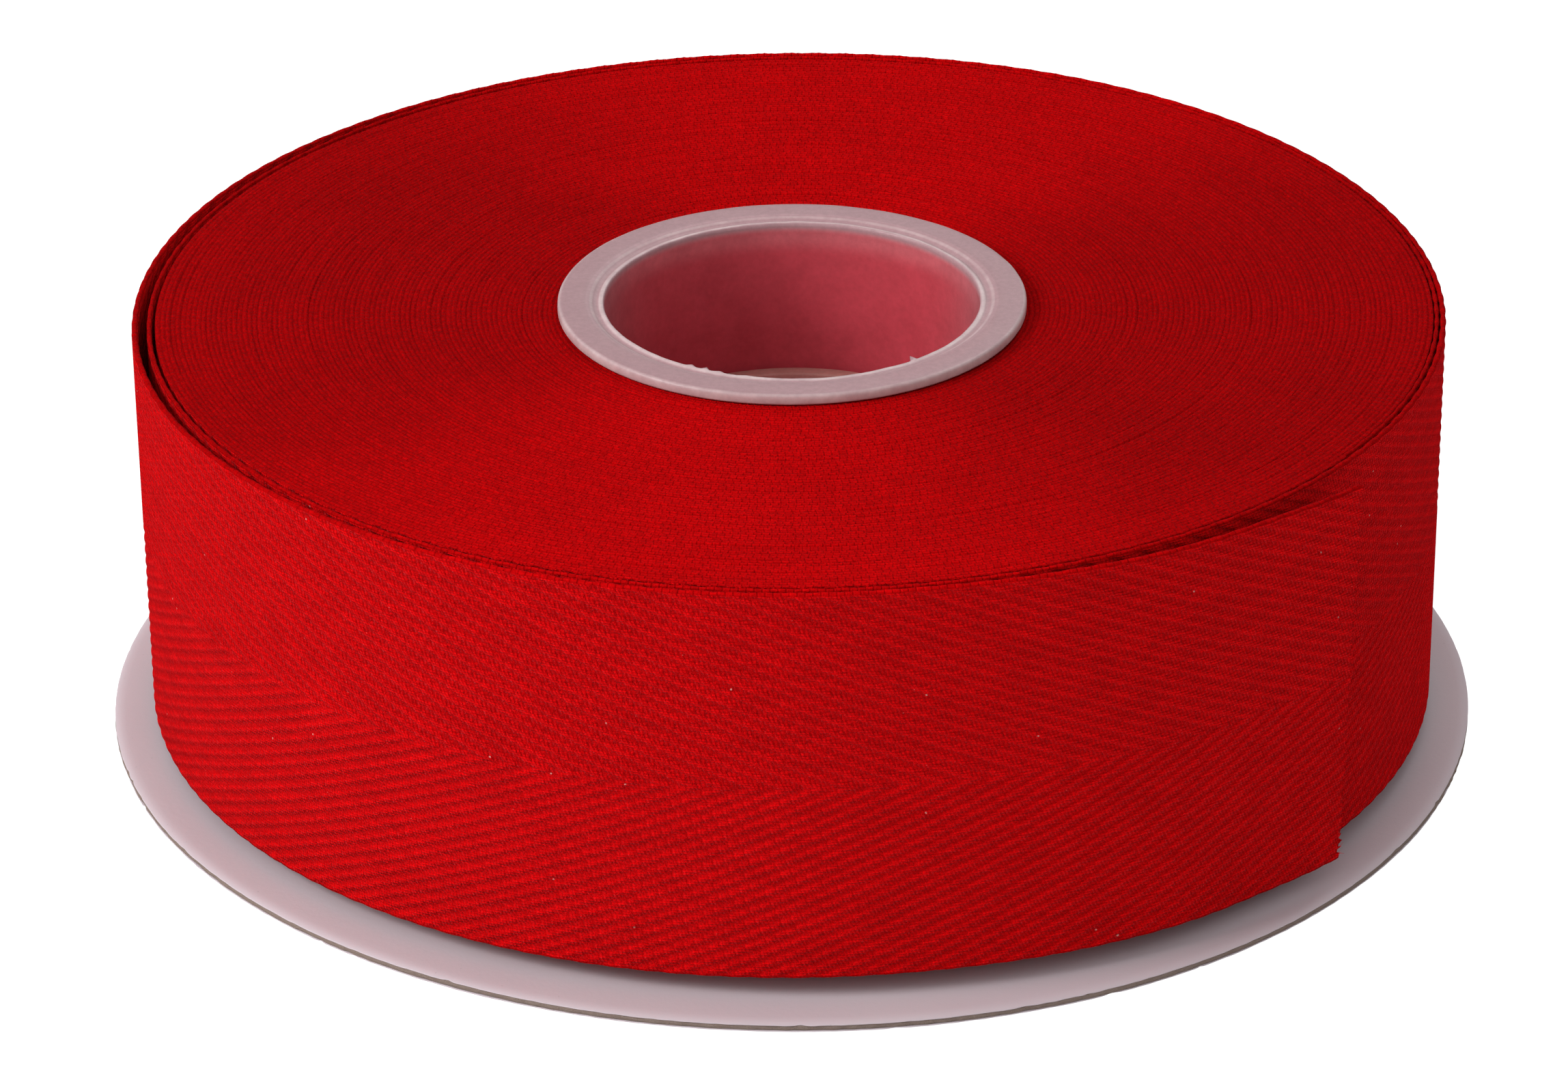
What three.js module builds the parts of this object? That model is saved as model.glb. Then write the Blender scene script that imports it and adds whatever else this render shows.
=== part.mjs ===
// A roll of herringbone twill tape wound on a two-part plastic core, with one card disc under it.
// Millimetres, +Z up. The origin is on the core's axis, in the plane that the roll rests on.
// The core's upper half is pushed down through the roll and over the lower half's tube, so the
// disc is held between the lower flange and the tube's end.

import * as THREE from 'three';

// ---- Driving dimensions -------------------------------------------------------------------

const TAPE_WIDTH = 38;            // a nominal 1.5 inch tape
const TAPE_THICK = 0.6;           // where the tape is slack; about 0.48 in the tight turns

const FLANGE_RADIUS = 21.8;       // both halves of the core have a flange of this size
const FLANGE_THICK = 1.05;
const BORE_RADIUS = 17.5;         // upper half
const UPPER_TUBE_RADIUS = 19.0;
const LOWER_TUBE_RADIUS = 17.2;   // slides inside the upper half's bore
const LOWER_BORE_RADIUS = 15.5;
const LOWER_TUBE_TOP = 26.7;      // the ledge that shows halfway down the bore

const DISC_RADIUS = 64.25;
const DISC_HOLE_RADIUS = 17.7;
const BOARD_THICK = 0.66;
const LINER_THICK = 0.1;

const PACK_RADIUS = 59.5;         // outside of the tight turns
const PACK_HOLE_RADIUS = 19.6;
const PACK_CENTRE = new THREE.Vector2(0.3, 0.4);   // the winding runs slightly off the axis

const STACK_GAP = 0.05;           // between flat faces that lie on each other
const GLUE_GAP = 0.02;            // between the board and its paper
const ROLL_CLEARANCE = 0.6;       // the tape is wound clear of the disc

// ---- Heights, from the plane the roll rests on upwards ------------------------------------

const DISC_BOTTOM = FLANGE_THICK + STACK_GAP;
const BOARD_BOTTOM = DISC_BOTTOM + LINER_THICK + GLUE_GAP;
const TOP_LINER_BOTTOM = BOARD_BOTTOM + BOARD_THICK + GLUE_GAP;
const DISC_TOP = TOP_LINER_BOTTOM + LINER_THICK;
const TUBE_END = DISC_TOP + STACK_GAP;
const TAPE_BOTTOM = TUBE_END + ROLL_CLEARANCE;
const TAPE_TOP = TAPE_BOTTOM + TAPE_WIDTH;
const UPPER_FLANGE_BOTTOM = TAPE_TOP + STACK_GAP;
const CORE_TOP = UPPER_FLANGE_BOTTOM + FLANGE_THICK;

// ---- The outermost turn, as a polar path about the pack's centre --------------------------
// Angles are in degrees, anticlockwise from +X, and run on past 360 along the tape.

const WRAP_START = 325;
const TAIL_START = 584;           // first hinge of the loose end
const TAIL_END = 681;             // the cut end
const TAIL_PARTS = 7;
const TAIL_STEP = (TAIL_END - TAIL_START) / TAIL_PARTS;
const HINGE_GAP = 0.3;            // between two neighbouring lengths of the loose end

const WRAP_RADIUS = PACK_RADIUS + 0.45;   // middle of the tape's thickness, where the turn starts
const LOOSEN = { from: 370, to: 430, rise: 0.7 };
const SLACK = { from: 450, to: 650, rise: 0.55 };
const LIFT = { from: 640, rise: 2.6, power: 1.3 };

// The turn works loose as it goes round, bulges on the -X side, and lifts off towards its end.
function wrapRadius(angle) {
  let radius = WRAP_RADIUS + LOOSEN.rise * THREE.MathUtils.smoothstep(angle, LOOSEN.from, LOOSEN.to);
  if (angle > SLACK.from && angle < SLACK.to) {
    const share = (angle - SLACK.from) / (SLACK.to - SLACK.from);
    radius += SLACK.rise * Math.sin(Math.PI * share) ** 2;
  }
  if (angle > LIFT.from) {
    const share = (angle - LIFT.from) / (TAIL_END - LIFT.from);
    radius += LIFT.rise * share ** LIFT.power;
  }
  return radius;
}

function pointOnWrap(angle, offset = 0) {
  const radius = wrapRadius(angle) + offset;
  const turn = THREE.MathUtils.degToRad(angle);
  return new THREE.Vector2(Math.cos(turn), Math.sin(turn)).multiplyScalar(radius).add(PACK_CENTRE);
}

// ---- Materials ----------------------------------------------------------------------------

const TAPE_RED = new THREE.MeshStandardMaterial({ color: 0xa80812, roughness: 0.9, metalness: 0 });
const TAIL_RED = new THREE.MeshStandardMaterial({ color: 0xb4101a, roughness: 0.9, metalness: 0 });
const FROSTED = new THREE.MeshStandardMaterial({
  color: 0xd8cfd0, roughness: 0.45, metalness: 0, transparent: true, opacity: 0.75,
});
const GREYBOARD = new THREE.MeshStandardMaterial({ color: 0x8a7a72, roughness: 0.95, metalness: 0 });
const LINER = new THREE.MeshStandardMaterial({ color: 0xe6e0e0, roughness: 0.7, metalness: 0 });
const ADHESIVE = new THREE.MeshStandardMaterial({ color: 0xd9c9a0, roughness: 0.6, metalness: 0 });

// ---- Shape helpers ------------------------------------------------------------------------

const ROUND_STEPS = 96;

// A body of revolution about Z. The profile is a closed list of [radius, height].
function turned(profile) {
  const points = [...profile, profile[0]].map(([radius, height]) => new THREE.Vector2(radius, height));
  const geometry = new THREE.LatheGeometry(points, ROUND_STEPS);
  geometry.rotateX(Math.PI / 2);
  return geometry;
}

// A flat plate or wall: an outline in the XY plane, raised from one height to another.
function raised(shape, bottom, top) {
  const geometry = new THREE.ExtrudeGeometry(shape, {
    depth: top - bottom, bevelEnabled: false, curveSegments: ROUND_STEPS / 2,
  });
  geometry.translate(0, 0, bottom);
  return geometry;
}

function ringShape(outerRadius, holeRadius, centre = new THREE.Vector2()) {
  const shape = new THREE.Shape().absarc(centre.x, centre.y, outerRadius, 0, 2 * Math.PI);
  shape.holes.push(new THREE.Path().absarc(0, 0, holeRadius, 0, 2 * Math.PI, true));
  return shape;
}

// A length of tape standing on edge along the wrap, from one angle to another.
function tapeShape(from, to, steps) {
  const angles = Array.from({ length: steps + 1 }, (_, i) => from + (to - from) * i / steps);
  const outside = angles.map((angle) => pointOnWrap(angle, TAPE_THICK / 2));
  const inside = angles.map((angle) => pointOnWrap(angle, -TAPE_THICK / 2));
  return new THREE.Shape([...outside, ...inside.reverse()]);
}

function named(name, geometry, material) {
  const mesh = new THREE.Mesh(geometry, material);
  mesh.name = name;
  return mesh;
}

// ---- The core -----------------------------------------------------------------------------

const SNAP_HEIGHT = 14;           // a low bead on the lower tube clicks into a groove in the upper
const SNAP_RISE = 0.18;
const SNAP_HALF = 0.8;
const LEAD_IN = 0.5;

// Upper half: a flange with a shallow funnel round its bore, and a tube that the tape is wound on.
function coreUpper() {
  const lipWidth = 0.4;
  const lipDrop = 0.2;
  const funnelDrop = 0.45;
  const funnelWidth = 1.9;
  return turned([
    [BORE_RADIUS, TUBE_END + LEAD_IN],
    [BORE_RADIUS + LEAD_IN, TUBE_END],
    [UPPER_TUBE_RADIUS, TUBE_END],
    [UPPER_TUBE_RADIUS, UPPER_FLANGE_BOTTOM],
    [FLANGE_RADIUS, UPPER_FLANGE_BOTTOM],
    [FLANGE_RADIUS, CORE_TOP - 0.1],
    [FLANGE_RADIUS - 0.1, CORE_TOP],
    [BORE_RADIUS + funnelWidth, CORE_TOP],
    [BORE_RADIUS + lipWidth + 0.3, CORE_TOP - funnelDrop],
    [BORE_RADIUS + lipWidth, CORE_TOP - lipDrop],
    [BORE_RADIUS, CORE_TOP - lipDrop],
    [BORE_RADIUS, SNAP_HEIGHT + SNAP_HALF],
    [BORE_RADIUS + SNAP_RISE, SNAP_HEIGHT],
    [BORE_RADIUS, SNAP_HEIGHT - SNAP_HALF],
  ]);
}

// Lower half: a flange under the disc, and a tube that stands inside the upper half's tube.
function coreLower() {
  return turned([
    [LOWER_BORE_RADIUS, 0],
    [FLANGE_RADIUS - 0.1, 0],
    [FLANGE_RADIUS, 0.1],
    [FLANGE_RADIUS, FLANGE_THICK],
    [LOWER_TUBE_RADIUS, FLANGE_THICK],
    [LOWER_TUBE_RADIUS, SNAP_HEIGHT - SNAP_HALF],
    [LOWER_TUBE_RADIUS + SNAP_RISE, SNAP_HEIGHT],
    [LOWER_TUBE_RADIUS, SNAP_HEIGHT + SNAP_HALF],
    [LOWER_TUBE_RADIUS, LOWER_TUBE_TOP - LEAD_IN],
    [LOWER_TUBE_RADIUS - LEAD_IN, LOWER_TUBE_TOP],
    [LOWER_BORE_RADIUS, LOWER_TUBE_TOP],
  ]);
}

// ---- The card disc: greyboard with white paper on both faces ------------------------------

function discLayer(name, bottom, thick, material) {
  const shape = ringShape(DISC_RADIUS, DISC_HOLE_RADIUS);
  return named(name, raised(shape, bottom, bottom + thick), material);
}

// ---- The tape -----------------------------------------------------------------------------

// The double-sided patch that holds the first turn to the core.
const TAB = { inner: UPPER_TUBE_RADIUS + 0.1, thick: 0.2, halfAngle: 18, bottom: 8, top: 36 };

function startTab() {
  const reach = THREE.MathUtils.degToRad(TAB.halfAngle);
  const shape = new THREE.Shape();
  shape.absarc(0, 0, TAB.inner + TAB.thick, -reach, reach, false);
  shape.absarc(0, 0, TAB.inner, reach, -reach, true);
  const geometry = new THREE.ExtrudeGeometry(shape, {
    depth: TAB.top - TAB.bottom, bevelEnabled: false, curveSegments: 10,
  });
  geometry.translate(0, 0, TAB.bottom);
  return geometry;
}

function tapePack() {
  return raised(ringShape(PACK_RADIUS, PACK_HOLE_RADIUS, PACK_CENTRE), TAPE_BOTTOM, TAPE_TOP);
}

// The outermost turn up to the first hinge of the loose end.
function slackTurn() {
  const steps = 60;
  return raised(tapeShape(WRAP_START, TAIL_START - gapAngle(), steps), TAPE_BOTTOM, TAPE_TOP);
}

function gapAngle() {
  return THREE.MathUtils.radToDeg(HINGE_GAP / 2 / WRAP_RADIUS);
}

// One length of the loose end, between two hinge lines.
function tailPart(index) {
  const from = TAIL_START + index * TAIL_STEP + gapAngle();
  const isLast = index === TAIL_PARTS - 1;
  const to = TAIL_START + (index + 1) * TAIL_STEP - (isLast ? 0 : gapAngle());
  const steps = 5;
  return raised(tapeShape(from, to, steps), TAPE_BOTTOM, TAPE_TOP);
}

// ---- Assembly -----------------------------------------------------------------------------

const roll = new THREE.Group();
roll.add(named('core_lower', coreLower(), FROSTED));
roll.add(discLayer('disc_liner_bottom', DISC_BOTTOM, LINER_THICK, LINER));
roll.add(discLayer('disc_board', BOARD_BOTTOM, BOARD_THICK, GREYBOARD));
roll.add(discLayer('disc_liner_top', TOP_LINER_BOTTOM, LINER_THICK, LINER));
roll.add(named('core_upper', coreUpper(), FROSTED));
roll.add(named('start_tab', startTab(), ADHESIVE));
roll.add(named('tape_pack', tapePack(), TAPE_RED));
roll.add(named('slack_turn', slackTurn(), TAPE_RED));
for (let index = 0; index < TAIL_PARTS; index += 1) {
  roll.add(named(`tape_tail_${index + 1}`, tailPart(index), TAIL_RED));
}

export default roll;
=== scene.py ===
"""The looks of a spool of red herringbone tape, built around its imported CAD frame.

Lengths are in millimetres until a mesh is made, heights are above the table, and winding angles are
degrees anticlockwise, seen from above, counted on past 360 along the tape. Places come from the frame.
"""

import math

import bpy
import numpy as np
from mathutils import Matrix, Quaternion, Vector


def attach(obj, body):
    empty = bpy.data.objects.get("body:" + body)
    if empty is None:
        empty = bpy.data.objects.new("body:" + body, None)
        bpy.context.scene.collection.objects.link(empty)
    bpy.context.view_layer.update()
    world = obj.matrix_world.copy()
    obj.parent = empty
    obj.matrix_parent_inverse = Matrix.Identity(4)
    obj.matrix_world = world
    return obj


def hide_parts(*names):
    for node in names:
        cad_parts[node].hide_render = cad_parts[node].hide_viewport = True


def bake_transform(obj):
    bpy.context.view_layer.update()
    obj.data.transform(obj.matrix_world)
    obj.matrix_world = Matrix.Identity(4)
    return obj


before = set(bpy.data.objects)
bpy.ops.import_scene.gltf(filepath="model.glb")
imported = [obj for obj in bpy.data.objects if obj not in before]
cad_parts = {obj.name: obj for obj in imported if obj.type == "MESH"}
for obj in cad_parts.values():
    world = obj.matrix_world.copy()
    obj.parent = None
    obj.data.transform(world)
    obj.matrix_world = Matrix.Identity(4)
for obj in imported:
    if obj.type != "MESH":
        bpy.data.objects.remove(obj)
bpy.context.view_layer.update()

MM = 0.001

# The weave, a herringbone of 3/1 twill that turns back at the middle of the tape.
WARP_PITCH = 0.298
WEFT_PITCH = 0.681
TWILL_REPEAT = 4
GROOVE_WIDTH = 0.95
GROOVE_DEPTH = 0.09
BEADS_PER_WEFT = 0.75
RIDGE_WOBBLE = 0.35
TWIST_PITCH = 0.36
TWIST_SLANT = 0.45
TWIST_WOBBLE = 1.6
FACE_UV = "Tape"

# The roll.
TURNS = 83
WRAP_START = 325.0
TAIL_START = 584.0
TAIL_END = 681.0
LIFT_START = 640.0
TAIL_PARTS = 7
RING_GROUPS = 8


def node_points(name):
    """The corners of a CAD node."""
    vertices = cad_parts[name].data.vertices
    points = np.zeros(len(vertices) * 3)
    vertices.foreach_get("co", points)
    return points.reshape(-1, 3) / MM


def node_radii(name):
    """How far each corner of a CAD node is from the hub's axis, and its height."""
    points = node_points(name)
    return np.hypot(points[:, 0], points[:, 1]), points[:, 2]


PACK = node_points("tape_pack")
PACK_CENTRE = (PACK.min(0) + PACK.max(0))[:2] / 2
PACK_RADIUS = np.ptp(PACK[:, 0]) / 2
PACK_HOLE = node_radii("tape_pack")[0].min()
TAPE_BOTTOM = PACK[:, 2].min()
TAPE_WIDTH = np.ptp(PACK[:, 2])
TURN_PITCH = (PACK_RADIUS - PACK_HOLE) / (TURNS + 1)

# The roll is a little dished: its outer turns stand higher, and lean outwards at the top.
DISH = 0.42
LEAN = 0.4


def smooth(value, low=0.0, high=1.0):
    """0 below low, 1 above high, and an even curve between them."""
    share = np.clip((value - low) / (high - low), 0.0, 1.0)
    return share * share * (3.0 - 2.0 * share)


def dished(turns):
    """How far the roll has slid upwards this many turns from the hub."""
    return DISH * smooth(turns / TURNS)


def leaning(turns, height):
    """How far out the tape leans at a height above its lower edge."""
    return LEAN * np.minimum(turns / TURNS, 1.0) * (height / TAPE_WIDTH - 0.75)


def wander(position, step, rng):
    """An even random curve between -1 and 1 along position, with a new value every step."""
    knots = rng.uniform(-1.0, 1.0, int(position.max() / step) + 3)
    at = position / step
    low = np.floor(at).astype(int)
    return knots[low] + (knots[low + 1] - knots[low]) * smooth(at - low)


# ---------------------------------------------------------------- meshes


def swept_piece(
    name, points, materials, joined=False, along=None, across=None, slots=None, creases=()
):
    """A closed mesh from points[column, profile point], whose profile closes on itself.

    joined closes the sweep into a ring, and else both ends get a cap. along[column, segment] and
    across[column, segment, end] are the face UVs, and slots[segment] picks each segment's material.
    creases lists the profile points where the shading breaks.
    """
    columns, profile = points.shape[:2]
    column = np.arange(columns if joined else columns - 1)[:, None]
    segment = np.arange(profile)[None, :]
    next_column = (column + 1) % columns
    next_point = (segment + 1) % profile
    corners = [
        column * profile + segment,
        next_column * profile + segment,
        next_column * profile + next_point,
        column * profile + next_point,
    ]
    quads = np.stack([np.broadcast_to(c, np.broadcast(column, segment).shape) for c in corners], -1)
    loops = [quads.reshape(-1)]
    sizes = [np.full(quads.shape[0] * quads.shape[1], 4)]
    if not joined:
        loops.append(np.arange(profile)[::-1])
        loops.append(np.arange(profile) + (columns - 1) * profile)
        sizes.append(np.array([profile, profile]))
    loops = np.concatenate(loops)
    sizes = np.concatenate(sizes)

    mesh = bpy.data.meshes.new(name)
    mesh.vertices.add(columns * profile)
    mesh.vertices.foreach_set("co", (points * MM).reshape(-1))
    mesh.loops.add(len(loops))
    mesh.loops.foreach_set("vertex_index", loops)
    mesh.polygons.add(len(sizes))
    mesh.polygons.foreach_set("loop_start", np.cumsum(sizes) - sizes)
    for material in materials:
        mesh.materials.append(material)
    if slots is not None:
        picked = np.broadcast_to(slots[None, :], quads.shape[:2]).reshape(-1)
        caps = np.full(len(sizes) - len(picked), 0)
        mesh.polygons.foreach_set("material_index", np.concatenate([picked, caps]))
    flat = np.zeros(len(sizes), bool)
    if not joined:
        flat[-2:] = True
    mesh.polygons.foreach_set("use_smooth", ~flat)
    if along is not None:
        u = np.stack([along[:-1], along[1:], along[1:], along[:-1]], -1)
        v = np.stack([across[:-1, :, 0], across[1:, :, 0], across[1:, :, 1], across[:-1, :, 1]], -1)
        uv = np.zeros((len(loops), 2))
        uv[: u.size, 0] = u.reshape(-1)
        uv[: v.size, 1] = v.reshape(-1)
        mesh.uv_layers.new(name=FACE_UV).data.foreach_set("uv", uv.reshape(-1))
    mesh.update(calc_edges=True)
    if not joined:
        keep_sharp(mesh, columns * profile - profile, profile, creases)
    piece = bpy.data.objects.new(name, mesh)
    bpy.context.scene.collection.objects.link(piece)
    face_outwards(mesh)
    return piece


def keep_sharp(mesh, last_start, profile, creases):
    """Marks the outline of both end caps and the creases, so that shading runs on to the next piece."""
    ends = np.zeros(len(mesh.edges) * 2, np.int32)
    mesh.edges.foreach_get("vertices", ends)
    ends = ends.reshape(-1, 2)
    at = ends % profile
    sharp = (ends < profile).all(1) | (ends >= last_start).all(1)
    sharp |= (at[:, 0] == at[:, 1]) & np.isin(at[:, 0], creases)
    mesh.attributes.new("sharp_edge", "BOOLEAN", "EDGE").data.foreach_set("value", sharp)


def face_outwards(mesh):
    """Turns the whole mesh inside out if its faces point in."""
    count = len(mesh.loop_triangles)
    triangles = np.zeros(count * 3, np.int32)
    mesh.loop_triangles.foreach_get("vertices", triangles)
    points = np.zeros(len(mesh.vertices) * 3, np.float32)
    mesh.vertices.foreach_get("co", points)
    a, b, c = points.reshape(-1, 3)[triangles.reshape(-1, 3)].swapaxes(0, 1).astype(float)
    if np.einsum("ij,ij->i", a, np.cross(b, c)).sum() < 0:
        mesh.flip_normals()


def ring_piece(name, radius, height, materials, centre=(0.0, 0.0)):
    """A turned piece with radius[column, point] and height[column, point] about an upright axis."""
    columns = radius.shape[0]
    angle = (np.arange(columns) * 2 * np.pi / columns)[:, None]
    points = np.stack([
        centre[0] + radius * np.cos(angle), centre[1] + radius * np.sin(angle), height
    ], -1)
    return swept_piece(name, points, materials, joined=True)


# ---------------------------------------------------------------- the tape's path


def read_outer_path():
    """Winding angle and mid radius of the outermost turn, from the CAD pieces that hold its place."""
    windings = []
    radii = []
    for name in ["slack_turn"] + [f"tape_tail_{i + 1}" for i in range(TAIL_PARTS)]:
        from_centre = node_points(name)[:, :2] - PACK_CENTRE
        angle = np.degrees(np.arctan2(from_centre[:, 1], from_centre[:, 0]))
        windings.append((angle - WRAP_START + 1.0) % 360.0 + WRAP_START - 1.0)
        radii.append(np.hypot(from_centre[:, 0], from_centre[:, 1]))
    winding = np.concatenate(windings)
    radius = np.concatenate(radii)
    places, place_of = np.unique(np.round(winding, 1), return_inverse=True)
    inner = np.full(len(places), np.inf)
    outer = np.zeros(len(places))
    np.minimum.at(inner, place_of, radius)
    np.maximum.at(outer, place_of, radius)
    return places, (inner + outer) / 2


OUTER_WINDING, OUTER_RADIUS = read_outer_path()

# The turn under the outermost one works loose early, and the tail bends in a little before its cut.
UNDER_LOOSE = 0.45
UNDER_LOOSE_END = 105.0
TAIL_PLATEAU = 0.4
PLATEAU_AT = 672.0
PLATEAU_WIDTH = 5.5
PATH_STEP = 0.25
PATH_SMOOTHING = 25


def path_table():
    """The mid radius and the length of tape used, every PATH_STEP degrees of the last two turns."""
    winding = np.arange(WRAP_START - 360.0, TAIL_END + 5.0, PATH_STEP)
    first = PACK_RADIUS - TURN_PITCH / 2
    since = winding - winding[0]
    loose = UNDER_LOOSE * smooth(since, 0.0, UNDER_LOOSE_END)
    rest = OUTER_RADIUS[0] - first - UNDER_LOOSE
    under = first + loose + rest * since / 360.0
    outer = np.interp(winding, OUTER_WINDING, OUTER_RADIUS)
    slope = (OUTER_RADIUS[-1] - OUTER_RADIUS[-3]) / (OUTER_WINDING[-1] - OUTER_WINDING[-3])
    outer += slope * np.maximum(winding - OUTER_WINDING[-1], 0.0)
    outer -= TAIL_PLATEAU * np.exp(-(((winding - PLATEAU_AT) / PLATEAU_WIDTH) ** 2))
    radius = np.where(winding < WRAP_START, under, outer)
    padded = np.pad(radius, PATH_SMOOTHING // 2, mode="reflect", reflect_type="odd")
    radius = np.convolve(padded, np.full(PATH_SMOOTHING, 1 / PATH_SMOOTHING), mode="valid")
    length = pack_length(TURNS) + np.cumsum(radius * math.radians(PATH_STEP))
    return winding, radius, length


def pack_length(turns):
    """Length of tape in this many turns of the pack."""
    return 2 * np.pi * (PACK_HOLE * turns + TURN_PITCH * turns**2 / 2)


PATH_WINDING, PATH_RADIUS, PATH_LENGTH = path_table()


def mid_radius(winding):
    return np.interp(winding, PATH_WINDING, PATH_RADIUS)


def length_at(winding):
    return np.interp(winding, PATH_WINDING, PATH_LENGTH)


def winding_at(length):
    return np.interp(length, PATH_LENGTH, PATH_WINDING)


# ---------------------------------------------------------------- the tape's pieces

RELAXED = 0.12
EDGE_ROUND = 0.28
EDGE_BUMP = 0.035
EDGE_NOTCH = 0.1
TAIL_FLARE = 1.0
CUT_RAGGED = 0.16
MORE_RAGGED_BELOW = 1.3
FACE_STEP = 0.2
COLUMN_STEP = 0.34


def twill_groove(length, height):
    """1 in the middle of a groove between two twill ridges, and 0 on the ridges."""
    yarn = np.abs(height - TAPE_WIDTH / 2) / WARP_PITCH
    phase = (yarn + length / WEFT_PITCH) / TWILL_REPEAT
    from_groove = np.abs(phase - np.round(phase)) * TWILL_REPEAT
    return np.exp(-((from_groove / GROOVE_WIDTH) ** 2))


def tape_thickness(winding):
    """The turns in the pack are pressed, and the last turn isn't."""
    return TURN_PITCH + RELAXED * smooth(winding, WRAP_START - 60.0, WRAP_START)


def tape_profile(outer_rows, inner_rows):
    """Heights and sides of one cross-section: up the outer face, over the top, down and under."""
    low = EDGE_ROUND
    high = TAPE_WIDTH - EDGE_ROUND
    turn = np.radians([40.0, 90.0, 140.0])
    height = np.concatenate([
        np.linspace(low, high, outer_rows),
        high + EDGE_ROUND * np.sin(turn),
        np.linspace(high, low, inner_rows),
        low - EDGE_ROUND * np.sin(turn),
    ])
    side = np.concatenate([
        np.ones(outer_rows), np.cos(turn), -np.ones(inner_rows), -np.cos(turn)
    ])
    top = np.arange(outer_rows - 1, outer_rows + 3)
    bottom = np.arange(outer_rows + inner_rows + 2, outer_rows + inner_rows + 6)
    return height, side, top, bottom


def tape_strip(name, start, end, outer_rows, inner_rows, column_step, turn_number, materials, cut=False):
    """A length of the last turns between two winding angles, with both faces woven."""
    columns = int(round((length_at(end) - length_at(start)) / column_step)) + 1
    length = np.linspace(length_at(start), length_at(end), columns)[:, None]
    winding = winding_at(length)
    height, side, top, bottom = tape_profile(outer_rows, inner_rows)
    profile = len(height)
    groove = twill_groove(length, height[None, :])
    half = tape_thickness(winding) / 2
    offset = (half - GROOVE_DEPTH * groove * np.abs(side)) * side
    on_edge = 1.0 - np.abs(side)
    away = np.sign(height - TAPE_WIDTH / 2)
    bumps = EDGE_BUMP * np.cos(2 * np.pi * length / WEFT_PITCH) - EDGE_NOTCH * groove
    height_here = height + on_edge * away * bumps
    share = np.clip((winding - LIFT_START) / (TAIL_END - LIFT_START), 0.0, 1.0)
    flare = TAIL_FLARE * share**2 * (height / TAPE_WIDTH - 0.5)
    if cut:
        winding = np.repeat(winding, profile, axis=1)
        ragged = CUT_RAGGED * (1.0 + MORE_RAGGED_BELOW * smooth(height, 6.0, 2.0))
        winding[-1] += ragged * np.random.default_rng(11).uniform(-1.0, 1.0, profile)
    angle = np.radians(winding)
    radius = mid_radius(winding) + offset + flare + leaning(turn_number, height)
    points = np.stack([
        PACK_CENTRE[0] + radius * np.cos(angle),
        PACK_CENTRE[1] + radius * np.sin(angle),
        TAPE_BOTTOM + dished(turn_number) + height_here,
    ], -1)
    along = np.broadcast_to(length, (columns, profile))
    across = np.stack([height, np.roll(height, -1)], -1)
    slots = np.zeros(profile, int)
    for edge in (top, bottom):
        steps = np.linspace(0.0, 1.0, len(edge) + 1)
        across[edge, 0] = turn_number + steps[:-1]
        across[edge, 1] = turn_number + steps[1:]
        slots[edge] = 1
    across = np.broadcast_to(across, (columns, profile, 2))
    return swept_piece(name, points, materials, along=along, across=across, slots=slots)


RING_STEP = 0.227
RING_GROOVE = 0.06
RING_SHOULDER = 0.02
RING_UNEVEN = 0.03
RING_UNEVEN_STEPS = (6.0, 45.0)
RING_WALL_ROWS = 5


def ring_height():
    """How far each turn's edge stands above the pack's mean, as a function of turns from the hub."""
    rng = np.random.default_rng(5)
    turns = np.arange(0.0, TURNS + 2.0, 1 / 1024)
    length = pack_length(turns)
    height = sum(wander(length, step, rng) for step in RING_UNEVEN_STEPS) * RING_UNEVEN
    per_turn = wander(turns, 1.0, rng) * RING_UNEVEN
    return turns, height + per_turn - 2.0 * RING_UNEVEN


RING_TURNS, RING_HEIGHT = ring_height()


def edge_height(turns):
    """The height of the tape's upper edge after this many turns."""
    turns = np.maximum(turns, 0.0)
    bump = EDGE_BUMP * np.cos(2 * np.pi * pack_length(turns) / WEFT_PITCH)
    unevenness = np.interp(turns, RING_TURNS, RING_HEIGHT)
    return TAPE_BOTTOM + TAPE_WIDTH + dished(turns) + unevenness + bump


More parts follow.
